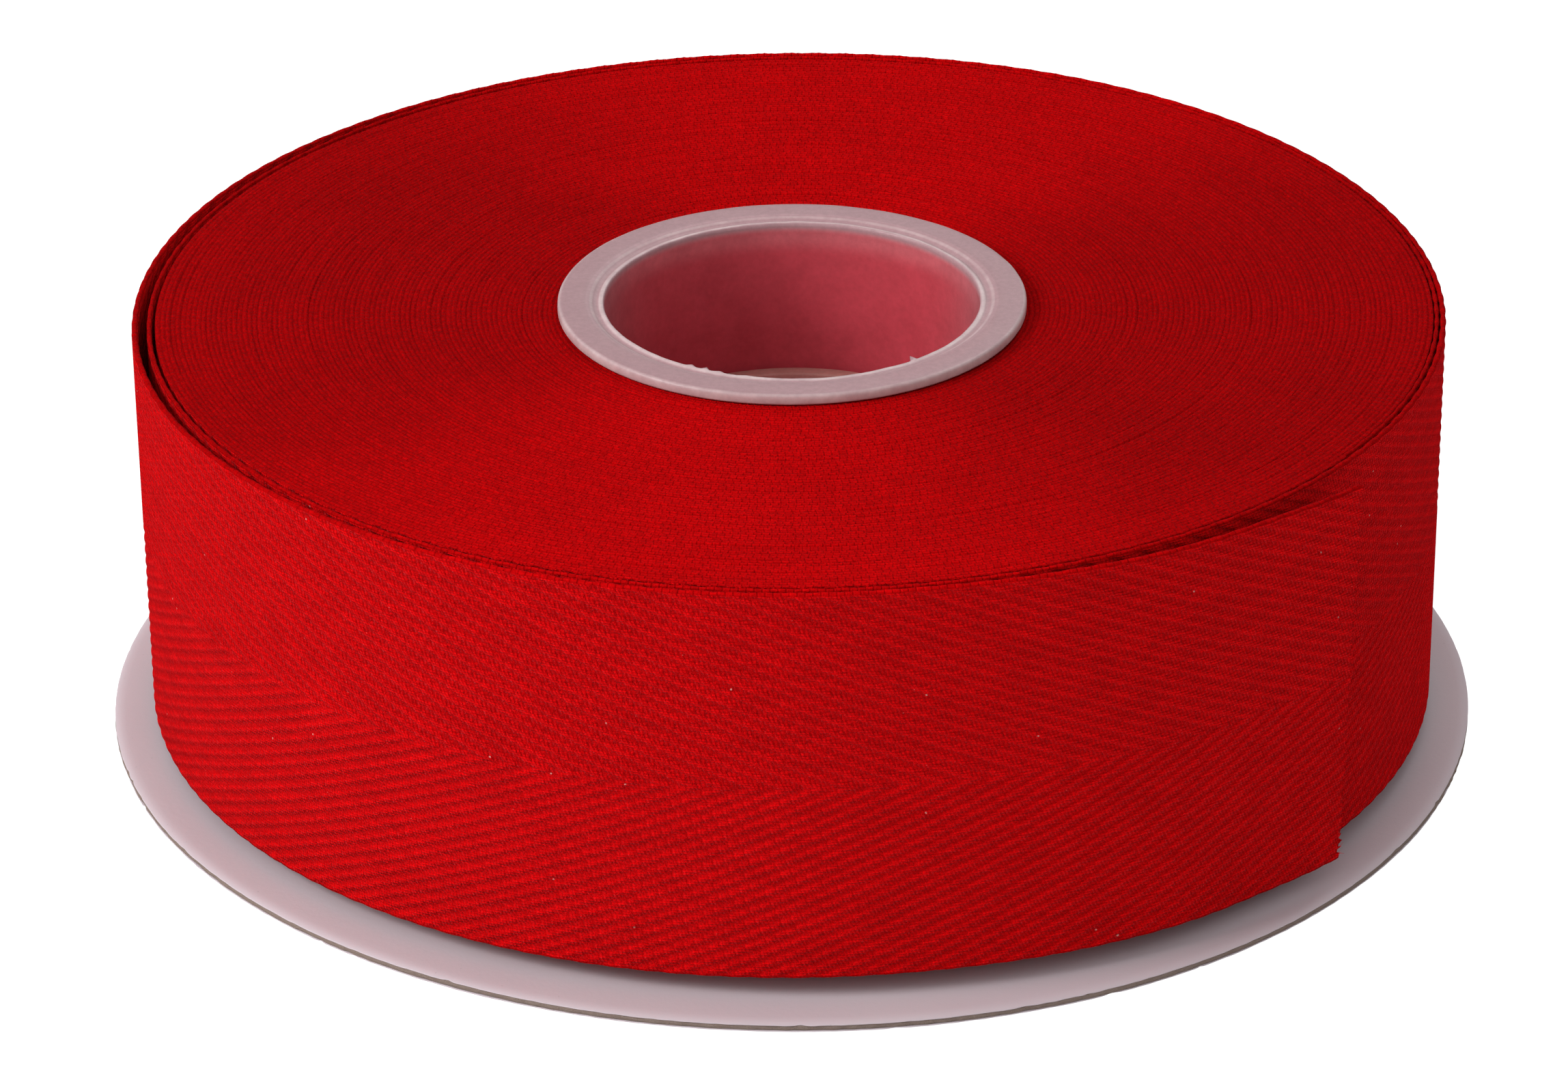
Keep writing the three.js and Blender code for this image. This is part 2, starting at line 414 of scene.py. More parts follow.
def ring_group(name, first, last, materials):
    """Turns first to last of the pack, as one coil whose start and end meet at the seam."""
    outer = PACK_HOLE + TURN_PITCH * last
    columns = int(round(2 * np.pi * outer / RING_STEP)) + 1
    share = np.linspace(0.0, 1.0, columns)[:, None]
    turn = np.repeat(np.arange(first, last), 4)
    part = np.tile([0.0, 0.25, 0.5, 0.75], last - first)
    crest = edge_height(turn + share)
    valley = np.minimum(crest, edge_height(turn - 1 + share)) - RING_GROOVE
    top = np.where(part == 0.0, valley, crest - RING_SHOULDER * (part != 0.5))
    last_valley = edge_height(last - 1 + share) - RING_GROOVE

    wall = np.linspace(0.0, 1.0, RING_WALL_ROWS, endpoint=False)
    wall_first = np.full(RING_WALL_ROWS, float(first))
    wall_last = np.full(RING_WALL_ROWS, float(last))
    floor_turn = np.array([last, (first + last) / 2])
    floor = TAPE_BOTTOM + dished(np.array([first, last, *floor_turn]) + share)
    inner_wall = floor[:, :1] + wall * (top[:, :1] - floor[:, :1])
    outer_wall = last_valley + wall * (floor[:, 1:2] - last_valley)

    turns = np.concatenate([wall_first, turn + part, wall_last, floor_turn])
    height = np.concatenate([inner_wall, top, outer_wall, floor[:, 2:]], axis=1)
    radius = PACK_HOLE + TURN_PITCH * (turns + share) + leaning(turns, height - TAPE_BOTTOM)
    centre = (turns / (TURNS + 1))[:, None] * PACK_CENTRE
    angle = np.radians(WRAP_START) + 2 * np.pi * share
    points = np.stack([
        centre[:, 0] + radius * np.cos(angle),
        centre[:, 1] + radius * np.sin(angle),
        height,
    ], -1)

    segment_turn = np.concatenate([wall_first, turn, wall_last - 1, floor_turn - 1])
    along = pack_length(segment_turn + share)
    edge_across = np.stack([turn + part, turn + part + 0.25], -1)
    up = wall * TAPE_WIDTH
    rise = TAPE_WIDTH / RING_WALL_ROWS
    floor_across = [[last, (first + last) / 2], [(first + last) / 2, first]]
    across = np.concatenate([
        np.stack([up, up + rise], -1),
        edge_across,
        np.stack([TAPE_WIDTH - up, TAPE_WIDTH - up - rise], -1),
        floor_across,
    ])
    across = np.broadcast_to(across, (columns, len(turns), 2))
    slots = np.concatenate([
        np.zeros(RING_WALL_ROWS), np.ones(len(turn)), np.zeros(RING_WALL_ROWS), np.ones(2)
    ]).astype(int)
    creases = (RING_WALL_ROWS, RING_WALL_ROWS + len(turn))
    return swept_piece(name, points, materials, along=along, across=across, slots=slots, creases=creases)


def build_roll(face, edge):
    """The pressed turns, the two looser turns outside them and the tail."""
    both = [face, edge]
    groups = np.array_split(np.arange(TURNS), RING_GROUPS)
    for number, group in enumerate(groups):
        piece = ring_group(f"turns_{number + 1}", int(group[0]), int(group[-1]) + 1, both)
        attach(piece, "roll")
        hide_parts("tape_pack")

    face_rows = int(round(TAPE_WIDTH / FACE_STEP))
    part = (TAIL_END - TAIL_START) / TAIL_PARTS
    fold_start = TAIL_START - part / 2
    shown_from = TAIL_START - 12.0 - 360.0
    strips = [
        ("under_turn", WRAP_START - 360.0, shown_from, 6, 4, TURNS),
        ("under_tail", shown_from, WRAP_START, face_rows, 4, TURNS),
        ("outer_turn_right", WRAP_START, (WRAP_START + fold_start) / 2, face_rows, 4, TURNS + 1),
        ("outer_turn_left", (WRAP_START + fold_start) / 2, fold_start, face_rows, 4, TURNS + 1),
    ]
    for name, start, end, outer_rows, inner_rows, number in strips:
        piece = tape_strip(name, start, end, outer_rows, inner_rows, COLUMN_STEP, number, both)
        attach(piece, "roll")
        if name.startswith("outer_turn"):
            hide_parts("slack_turn")
    build_tail(both, fold_start, part, face_rows)


def build_tail(materials, start, part, face_rows):
    """One piece of tape over each of the tail's hinges."""
    for number in range(1, TAIL_PARTS + 1):
        last = number == TAIL_PARTS
        begin = start + (number - 1) * part
        end = TAIL_END if last else begin + part
        piece = tape_strip(
            f"tail_fold_{number}", begin, end, face_rows, face_rows // 2, COLUMN_STEP, TURNS + 1,
            materials, cut=last,
        )
        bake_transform(piece)
        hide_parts(f"tape_tail_{number}")


FIBRES = 120
FIBRE_LENGTH = (0.2, 1.0)
FIBRE_THICK = 0.03
FIBRE_BEND = 0.5
FIBRE_ROOT = 0.3
FIBRE_SPREAD = 0.22
FIBRE_SIDES = 4
FIBRE_STEPS = 5


def build_cut_fibres(material):
    """Yarn ends that stick out of the cut, each a thin tapering tube."""
    rng = np.random.default_rng(17)
    angle = math.radians(TAIL_END)
    out = np.array([math.cos(angle), math.sin(angle), 0.0])
    onward = np.array([-math.sin(angle), math.cos(angle), 0.0])
    up = np.array([0.0, 0.0, 1.0])
    share = np.linspace(0.0, 1.0, FIBRE_STEPS)
    turn = np.arange(FIBRE_SIDES) * 2 * np.pi / FIBRE_SIDES
    tubes = []
    for height in rng.uniform(0.2, TAPE_WIDTH - 0.2, FIBRES):
        length = FIBRE_LENGTH[0] + (FIBRE_LENGTH[1] - FIBRE_LENGTH[0]) * rng.random() ** 2
        bend_out, bend_up = rng.uniform(-FIBRE_BEND, FIBRE_BEND, 2)
        radius = mid_radius(TAIL_END) + TAIL_FLARE * (height / TAPE_WIDTH - 0.5)
        radius += leaning(TURNS, height) + rng.uniform(-FIBRE_SPREAD, FIBRE_SPREAD)
        root = radius * out + (TAPE_BOTTOM + DISH + height) * up - FIBRE_ROOT * onward
        root[:2] += PACK_CENTRE
        reach = ((length + FIBRE_ROOT) * share)[:, None]
        curl = (length * share**2)[:, None]
        spine = root + reach * onward + curl * (bend_out * out + bend_up * up)
        thick = (FIBRE_THICK * (1.0 - 0.6 * share))[:, None, None]
        rim = np.cos(turn)[:, None] * out + np.sin(turn)[:, None] * up
        tubes.append(spine[:, None, :] + thick * rim)
    points = np.array(tubes).reshape(-1, 3) * MM
    step = np.arange(FIBRE_STEPS - 1)[:, None]
    side = np.arange(FIBRE_SIDES)[None, :]
    near = step * FIBRE_SIDES + side
    far = step * FIBRE_SIDES + (side + 1) % FIBRE_SIDES
    quads = np.stack([near, far, far + FIBRE_SIDES, near + FIBRE_SIDES], -1).reshape(-1, 4)
    starts = np.arange(FIBRES)[:, None, None] * FIBRE_STEPS * FIBRE_SIDES
    faces = (quads[None] + starts).reshape(-1, 4).tolist()
    ends = np.arange(FIBRE_SIDES)
    for start in starts.ravel():
        faces.append((start + ends[::-1]).tolist())
        faces.append((start + ends + (FIBRE_STEPS - 1) * FIBRE_SIDES).tolist())
    mesh = bpy.data.meshes.new("cut_fibres")
    mesh.from_pydata(points.tolist(), [], faces)
    mesh.materials.append(material)
    piece = bpy.data.objects.new("cut_fibres", mesh)
    bpy.context.scene.collection.objects.link(piece)
    face_outwards(mesh)
    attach(piece, f"tail_{TAIL_PARTS}")


# ---------------------------------------------------------------- the core

CORE_COLUMNS = 720

# Burrs on the bore's lip: the angle, how far each stands out, and half its width in degrees.
BURRS = (
    (238.0, 0.22, 1.2),
    (243.0, 0.3, 0.8),
    (247.5, 0.18, 1.6),
    (256.0, 0.14, 2.0),
    (309.0, 0.55, 0.7),
)


def core_angles():
    return (np.arange(CORE_COLUMNS) * 360.0 / CORE_COLUMNS)[:, None]


def facing(angle, middle, width):
    """1 at the middle angle, falling to 0 at width degrees to either side."""
    away = np.abs((angle - middle + 180.0) % 360.0 - 180.0)
    return 1.0 - smooth(away, 0.0, width)


def build_core(plastic):
    """The two halves of the core: the upper one with the visible flange, and the lower one inside it."""
    build_core_upper(plastic)
    build_core_lower(plastic)


def build_core_upper(plastic):
    radii, heights = node_radii("core_upper")
    bore = radii.min()
    rim = radii.max()
    top = heights.max()
    bottom = heights.min()
    tube = radii[heights < bottom + 0.01].max()
    under = heights[radii > rim - 0.01].min()
    angle = core_angles()
    rng = np.random.default_rng(3)

    def ripple(size, step):
        return size * wander(angle[:, 0], step, rng)[:, None] * smooth(360.0 - angle, 0.0, 20.0)

    lip = 0.25 + 0.75 * np.maximum(facing(angle, 222.0, 75.0), 0.8 * facing(angle, 60.0, 110.0))
    ledge = top - 0.36 + ripple(0.03, 9.0)
    crest = ledge + 0.2 * lip + ripple(0.02, 4.0)
    burr = sum(size * np.exp(-(((angle - at) / width) ** 2)) for at, size, width in BURRS)
    burr = burr + 0.03 * np.abs(ripple(1.0, 2.0))
    round_off = ripple(0.03, 6.0)
    profile = [
        (bore + 0.3, bottom),
        (bore, bottom + 0.4),
        (bore, bottom + 12.0),
        (bore, top - 12.0),
        (bore, top - 1.3),
        (bore - 0.2 * burr, top - 0.62),
        (bore - 0.9 * burr, crest - 0.1 + 0.5 * burr),
        (bore + 0.12 - 0.4 * burr, crest + 0.4 * burr),
        (bore + 0.34, crest - 0.01),
        (bore + 0.48, crest - 0.1 * lip),
        (bore + 0.58, ledge),
        (bore + 0.78, ledge - 0.01),
        (bore + 1.02, ledge + 0.12),
        (bore + 1.3, top - 0.1),
        (bore + 1.6, top - 0.02),
        (bore + 2.1, top),
        (rim - 0.55, top),
        (rim - 0.26 + round_off, top - 0.03),
        (rim - 0.1 + round_off, top - 0.1),
        (rim - 0.02, top - 0.24),
        (rim, top - 0.42),
        (rim, under + 0.2),
        (rim - 0.1, under + 0.04),
        (rim - 0.3, under),
        (tube + 0.15, under),
        (tube, under - 0.15),
        (tube, under - 12.0),
        (tube, bottom + 0.1),
        (tube - 0.1, bottom),
    ]
    radius = np.concatenate([np.broadcast_to(r, angle.shape) for r, _ in profile], axis=1)
    height = np.concatenate([np.broadcast_to(z, angle.shape) for _, z in profile], axis=1)
    piece = ring_piece("core_top_half", radius, height, [plastic])
    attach(piece, "core_upper")
    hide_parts("core_upper")


def build_core_lower(plastic):
    radii, heights = node_radii("core_lower")
    bore = radii.min()
    rim = radii.max()
    top = heights.max()
    tube = radii[heights > top - 0.6].max()
    flange = heights[radii > rim - 0.01].max()
    angle = core_angles()
    profile = [
        (bore + 0.15, 0.0),
        (bore, 0.15),
        (bore, top * 0.3),
        (bore, top * 0.7),
        (bore, top - 0.2),
        (bore + 0.1, top - 0.04),
        (bore + 0.3, top),
        (tube - 0.4, top),
        (tube - 0.15, top - 0.12),
        (tube, top - 0.5),
        (tube, top * 0.6),
        (tube, flange + 0.25),
        (tube + 0.12, flange + 0.02),
        (tube + 0.5, flange),
        (rim - 0.3, flange),
        (rim - 0.08, flange - 0.06),
        (rim, flange - 0.25),
        (rim, 0.3),
        (rim - 0.08, 0.08),
        (rim - 0.3, 0.0),
    ]
    radius = np.concatenate([np.full(angle.shape, r) for r, _ in profile], axis=1)
    height = np.concatenate([np.full(angle.shape, z) for _, z in profile], axis=1)
    piece = ring_piece("core_bottom_half", radius, height, [plastic])
    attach(piece, "core_lower")
    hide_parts("core_lower")


# ---------------------------------------------------------------- the disc

DISC_COLUMNS = 1440
DISC_RINGS = 24

# The disc sits off centre in its play on the tube, and droops all round and most to one side.
DISC_SHIFT = (-0.3, -0.3)
SAG_ALL_ROUND = 0.25
SAG = 0.8
SAG_TOWARDS = 294.0
SAG_NARROWNESS = 4
RIM_ROLL = 0.25
RIM_ROLL_WIDTH = 1.0


def sagged(radius, angle, rim):
    """How far the disc hangs down: it droops away from the hub, and most towards one side."""
    towards = (0.5 + 0.5 * np.cos(np.radians(angle - SAG_TOWARDS))) ** SAG_NARROWNESS
    sag = SAG_ALL_ROUND + SAG * towards
    return -sag * smooth(radius, 0.3 * rim, 1.15 * rim) / smooth(1.0, 0.3, 1.15)


def rolled_over(radius, rim):
    """How far the cutter has pressed the disc's upper surface down at its rim."""
    share = np.clip((radius - rim + RIM_ROLL_WIDTH) / RIM_ROLL_WIDTH, 0.0, 1.2)
    return RIM_ROLL * share**2.5


def disc_layer(name, node, rough, nick, seed, pressed, materials):
    """One layer of the disc, with a rough cut rim.

    pressed holds the share of the rim's roll that the upper and the lower face follow.
    """
    radii, heights = node_radii(node)
    hole = radii.min()
    rim = radii.max()
    bottom = heights.min()
    top = heights.max()
    angle = (np.arange(DISC_COLUMNS) * 360.0 / DISC_COLUMNS)[:, None]
    rng = np.random.default_rng(seed)
    fade = smooth(360.0 - angle, 0.0, 15.0)
    uneven = rough * (wander(angle[:, 0], 0.75, rng) + wander(angle[:, 0], 9.0, rng))[:, None] * fade
    nicks = sum(
        nick * rng.uniform(0.4, 1.0) * np.exp(-(((angle - at) / rng.uniform(0.2, 0.6)) ** 2))
        for at in rng.uniform(5.0, 355.0, 14)
    )
    outline = rim + uneven - rough - nicks
    steps = 1.0 - np.linspace(1.0, 0.0, DISC_RINGS)[None, :] ** 2.2
    soft = min(0.05, (top - bottom) / 4)
    up = hole + (outline - soft - hole) * steps
    radius = np.concatenate([up, outline, outline, up[:, ::-1]], axis=1)
    press_up = pressed[0] * rolled_over(up, rim)
    press_down = pressed[1] * rolled_over(up, rim)
    height = np.concatenate([
        top - press_up, top - soft - press_up[:, -1:],
        bottom + soft - press_down[:, -1:], bottom - press_down[:, ::-1],
    ], axis=1)
    height = height + sagged(radius, angle, rim)
    piece = ring_piece(name, radius, height, materials, DISC_SHIFT)
    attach(piece, "disc")
    return piece


def build_disc(board, liner):
    layers = [
        ("disc_board_core", "disc_board", 0.05, 0.15, 21, (1.0, 0.0), board, "greyboard"),
        ("disc_paper_top", "disc_liner_top", 0.02, 0.1, 22, (1.0, 1.0), liner, "white_liner"),
        ("disc_paper_bottom", "disc_liner_bottom", 0.03, 0.2, 23, (0.0, 0.0), liner, "white_liner"),
    ]
    for name, node, rough, nick, seed, pressed, material, slot in layers:
        piece = disc_layer(name, node, rough, nick, seed, pressed, [material])
        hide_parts(node)


# ---------------------------------------------------------------- materials


def colour(red, green, blue):
    """A linear colour from the 0 to 255 values seen on a screen."""
    shares = np.array([red, green, blue]) / 255.0
    linear = np.where(shares <= 0.04045, shares / 12.92, ((shares + 0.055) / 1.055) ** 2.4)
    return (*[float(value) for value in linear], 1.0)


class Shader:
    """Adds and joins the nodes of one material."""

    def __init__(self, name):
        self.material = bpy.data.materials.new(name)
        self.material.use_nodes = True
        self.tree = self.material.node_tree
        self.tree.nodes.clear()

    def add(self, kind, inputs, **settings):
        node = self.tree.nodes.new(kind)
        for key, value in settings.items():
            setattr(node, key, value)
        for key, value in inputs.items():
            if isinstance(value, bpy.types.NodeSocket):
                self.tree.links.new(value, node.inputs[key])
            else:
                node.inputs[key].default_value = value
        return node

    def math(self, operation, *values):
        return self.add("ShaderNodeMath", dict(enumerate(values)), operation=operation).outputs[0]

    def plus(self, first, second):
        return self.math("ADD", first, second)

    def minus(self, first, second):
        return self.math("SUBTRACT", first, second)

    def times(self, first, second):
        return self.math("MULTIPLY", first, second)

    def over(self, first, second):
        return self.math("DIVIDE", first, second)

    def distance(self, first, second):
        return self.math("ABSOLUTE", self.minus(first, second))

    def off_middle(self, value):
        """How far value is from the middle of its whole step, up to 0.5."""
        return self.distance(self.math("FRACT", value), 0.5)

    def off_whole(self, value):
        """How far value is from the nearest whole number, up to 0.5."""
        return self.distance(value, self.math("ROUND", value))

    def random(self, *numbers):
        """A random share for each set of one or two whole numbers."""
        if len(numbers) == 1:
            inputs = {"W": numbers[0]}
        else:
            inputs = {"Vector": self.vector(*numbers)}
        kind = f"{len(numbers)}D"
        return self.add("ShaderNodeTexWhiteNoise", inputs, noise_dimensions=kind).outputs["Value"]

    def shaded(self, light, *layers):
        """light times each layer: a value, its low and high, and the light at each of them."""
        for value, low, high, at_low, at_high in layers:
            light = self.times(light, self.scaled(value, low, high, at_low, at_high))
        return light

    def heaped(self, *layers):
        """The sum of the layers' heights: each is a value and how much it counts."""
        total = self.times(*layers[0])
        for layer in layers[1:]:
            total = self.plus(total, self.times(*layer))
        return total

    def scaled(self, value, low, high, to_low=0.0, to_high=1.0):
        """value from low to high, turned into to_low to to_high along an even curve."""
        inputs = {"Value": value, "From Min": low, "From Max": high, "To Min": to_low, "To Max": to_high}
        return self.add("ShaderNodeMapRange", inputs, interpolation_type="SMOOTHSTEP").outputs["Result"]

    def noise(self, vector, scale, detail=2.0, roughness=0.5):
        inputs = {"Vector": vector, "Scale": scale, "Detail": detail, "Roughness": roughness}
        return self.add("ShaderNodeTexNoise", inputs).outputs["Fac"]

    def vector(self, x, y, z=0.0):
        return self.add("ShaderNodeCombineXYZ", {"X": x, "Y": y, "Z": z}).outputs[0]

    def mixed(self, share, first, second):
        node = self.add("ShaderNodeMix", {"Factor": share}, data_type="RGBA")
        for key, value in ((6, first), (7, second)):
            if isinstance(value, bpy.types.NodeSocket):
                self.tree.links.new(value, node.inputs[key])
            else:
                node.inputs[key].default_value = value
        return node.outputs[2]

    def brightened(self, base, amount):
        """base with its light scaled by amount."""
        inputs = {0: base, 1: self.vector(amount, amount, amount)}
        return self.add("ShaderNodeVectorMath", inputs, operation="MULTIPLY").outputs[0]

    def bumped(self, height, distance):
        """A normal bent by height, whose full rise is distance in millimetres."""
        return self.add("ShaderNodeBump", {"Height": height, "Distance": distance * MM}).outputs[0]

    def place(self):
        """The object's own coordinates, in millimetres."""
        coordinates = self.add("ShaderNodeTexCoord", {}).outputs["Object"]
        scale = self.add("ShaderNodeVectorMath", {0: coordinates, 3: 1 / MM}, operation="SCALE")
        return scale.outputs[0]

    def finish(self, surface):
        output = self.tree.nodes.new("ShaderNodeOutputMaterial")
        self.tree.links.new(surface, output.inputs["Surface"])
        return self.material


TAPE_RED = colour(212, 3, 6)
TAPE_SHEEN = (1.0, 0.16, 0.19, 1.0)
TAPE_SHINE = 0.015
LINT = colour(226, 150, 140)

# The edge's loops are painted darker than the face, as shade for the light they catch less of, and
# painted shade darkens them most along the line DARK_SIDE degrees round, where their shine fades.
EDGE_LIGHT = 0.75
LOOP_PAINTED_SHADE = 0.68
DARK_SIDE = -9.0


def tape_surface(shader, base, normal, sheen, shine):
    """Dyed fibres: a matt red with a soft shine that is red too."""
    inputs = {
        "Base Color": base,
        "Roughness": 0.7,
        "Specular IOR Level": 0.0,
        "Sheen Weight": sheen,
        "Sheen Roughness": 0.35,
        "Sheen Tint": TAPE_SHEEN,
        "Normal": normal,
    }
    cloth = shader.add("ShaderNodeBsdfPrincipled", inputs).outputs[0]
    inputs = {"Color": TAPE_SHEEN, "Roughness": 0.5, "Normal": normal}
    gloss = shader.add("ShaderNodeBsdfAnisotropic", inputs).outputs[0]
    return shader.add("ShaderNodeMixShader", {0: shine, 1: cloth, 2: gloss}).outputs[0]


def tape_face_material():
    """The woven face: warp yarns that float over three wefts and dive under the fourth."""
    shader = Shader("herringbone_face")
    uv = shader.add("ShaderNodeUVMap", {}, uv_map=FACE_UV).outputs[0]
    split = shader.add("ShaderNodeSeparateXYZ", {0: uv})
    length = split.outputs[0]
    height = split.outputs[1]
    on_face = shader.vector(length, height)
    yarn = shader.over(shader.distance(height, float(TAPE_WIDTH / 2)), WARP_PITCH)
    yarn_number = shader.math("FLOOR", yarn)
    in_yarn = shader.minus(shader.math("FRACT", yarn), 0.5)
    crown = shader.minus(1.0, shader.times(4.0, shader.math("POWER", in_yarn, 2.0)))

    weft = shader.over(length, WEFT_PITCH)
    repeat = shader.over(shader.plus(shader.plus(weft, yarn_number), 0.5), float(TWILL_REPEAT))
    from_dive = shader.times(shader.off_whole(repeat), float(TWILL_REPEAT))
    float_rise = shader.scaled(from_dive, 0.2, 1.1)
    yarn_height = shader.times(crown, shader.scaled(float_rise, 0.0, 1.0, 0.3, 1.0))

    float_number = shader.math("ROUND", shader.minus(repeat, 0.5))
    shade = shader.random(float_number, yarn_number)
    stretched = shader.vector(shader.times(length, 1.3), shader.times(height, 9.0))
    fibres = shader.noise(stretched, 1.0, 3.0)
    fuzz = shader.noise(on_face, 7.0, 2.0)
    patches = shader.noise(on_face, 0.35, 2.0)

    slanted = shader.plus(length, shader.times(height, TWIST_SLANT))
    turned = shader.plus(shader.over(slanted, TWIST_PITCH), shader.times(fuzz, TWIST_WOBBLE))
    wave = shader.math("SINE", shader.times(turned, 2 * math.pi))
    strokes = shader.plus(0.5, shader.times(0.5, wave))

    phase = shader.over(shader.plus(yarn, weft), float(TWILL_REPEAT))
    phase = shader.plus(phase, shader.times(fuzz, RIDGE_WOBBLE))
    ridge = shader.scaled(shader.off_whole(phase), 0.0, 0.46)

    shifted = shader.times(shader.math("ROUND", shader.minus(phase, 0.5)), 0.5)
    bead = shader.plus(shader.times(weft, BEADS_PER_WEFT), shifted)
    dimple = shader.scaled(shader.off_middle(bead), 0.2, 0.5)
    dimple = shader.times(dimple, shader.scaled(fuzz, 0.25, 0.6, 0.3, 1.0))

    # Painted shade: the red is darker where the yarns dive, in the grooves between the twill ridges and
    # in the dimples. The twist strokes are painted highlight and shade along the yarns. The other layers
    # are the yarns' own uneven tone.
    light = shader.shaded(
        shader.plus(0.88, shader.times(yarn_height, 0.14)),
        (dimple, 0.0, 1.0, 1.02, 0.96),
        (ridge, 0.0, 1.0, 0.89, 1.05),
        (strokes, 0.0, 1.0, 0.89, 1.11),
        (shade, 0.0, 1.0, 0.9, 1.1),
        (fibres, 0.3, 0.7, 0.88, 1.12),
        (fuzz, 0.3, 0.7, 0.93, 1.07),
        (patches, 0.3, 0.7, 0.97, 1.03),
    )
    base = shader.brightened(TAPE_RED[:3], light)
    lint = shader.scaled(shader.noise(on_face, 1.9, 0.0), 0.885, 0.9, 0.0, 0.8)
    base = shader.mixed(lint, base, LINT)

    relief = shader.heaped(
        (yarn_height, 0.8), (fibres, 0.4), (fuzz, 0.4), (strokes, 0.5), (dimple, -0.8), (ridge, 2.2),
    )
    glint = shader.times(strokes, shader.scaled(fuzz, 0.35, 0.6))
    sheen = shader.scaled(glint, 0.0, 1.0, 0.04, 0.26)
    return shader.finish(tape_surface(shader, base, shader.bumped(relief, 0.15), sheen, TAPE_SHINE))


def fibre_material():
    """Loose yarn ends, a little lighter than the cloth since light gets through them."""
    shader = Shader("loose_fibres")
    along = shader.noise(shader.place(), 3.0, 1.0)
    base = shader.brightened(TAPE_RED[:3], shader.scaled(along, 0.3, 0.7, 0.95, 1.25))
    normal = shader.bumped(along, 0.01)
    return shader.finish(tape_surface(shader, base, normal, 0.2, TAPE_SHINE))


def sideways_share(shader):
    """1 along the line at DARK_SIDE through the hub, falling to 0 square to it."""
    split = shader.add("ShaderNodeSeparateXYZ", {0: shader.place()})
    angle = shader.math("ARCTAN2", split.outputs[1], split.outputs[0])
    across = shader.math("COSINE", shader.minus(angle, math.radians(DARK_SIDE)))
    return shader.math("POWER", across, 2.0)


def tape_edge_material():
    """The tape's edge: weft loops side by side, with painted shade where one turn meets the next and
    between the loops.
    """
    shader = Shader("herringbone_edge")
    uv = shader.add("ShaderNodeUVMap", {}, uv_map=FACE_UV).outputs[0]
    split = shader.add("ShaderNodeSeparateXYZ", {0: uv})
    length = split.outputs[0]
    turn = split.outputs[1]
    turn_number = shader.math("FLOOR", turn)
    crease = shader.scaled(shader.off_middle(turn), 0.15, 0.5)

    weft = shader.over(length, WEFT_PITCH)
    between_loops = shader.scaled(shader.off_middle(weft), 0.3, 0.5)
    loop_shade = shader.random(shader.math("FLOOR", weft), turn_number)
    turn_shade = shader.random(turn_number)
    stretched = shader.vector(shader.times(length, 1.4), shader.times(turn, 2.2))
    flecks = shader.noise(stretched, 1.0, 3.0, 0.6)
    fuzz = shader.noise(shader.place(), 5.0, 3.0, 0.6)
    patches = shader.noise(shader.place(), 0.09, 2.0)

    light = shader.shaded(
        EDGE_LIGHT,
        # Painted shade in the crease where one turn meets the next, and between the weft loops.
        (crease, 0.0, 1.0, 1.03, 0.8),
        (between_loops, 0.0, 1.0, 1.0, 0.93),
        (loop_shade, 0.0, 1.0, 0.93, 1.07),
        (turn_shade, 0.0, 1.0, 0.96, 1.04),
        (flecks, 0.3, 0.7, 0.8, 1.2),
        (fuzz, 0.3, 0.7, 0.88, 1.12),
        (patches, 0.3, 0.7, 0.96, 1.04),
        # Painted shade: the loops darken towards the line at DARK_SIDE degrees through the hub.
        (sideways_share(shader), 0.0, 0.8, 1.0, LOOP_PAINTED_SHADE),
    )
    base = shader.brightened(TAPE_RED[:3], light)
    relief = shader.heaped((flecks, 1.0), (between_loops, -0.5), (fuzz, 0.5))
    return shader.finish(tape_surface(shader, base, shader.bumped(relief, 0.15), 0.05, TAPE_SHINE / 2))


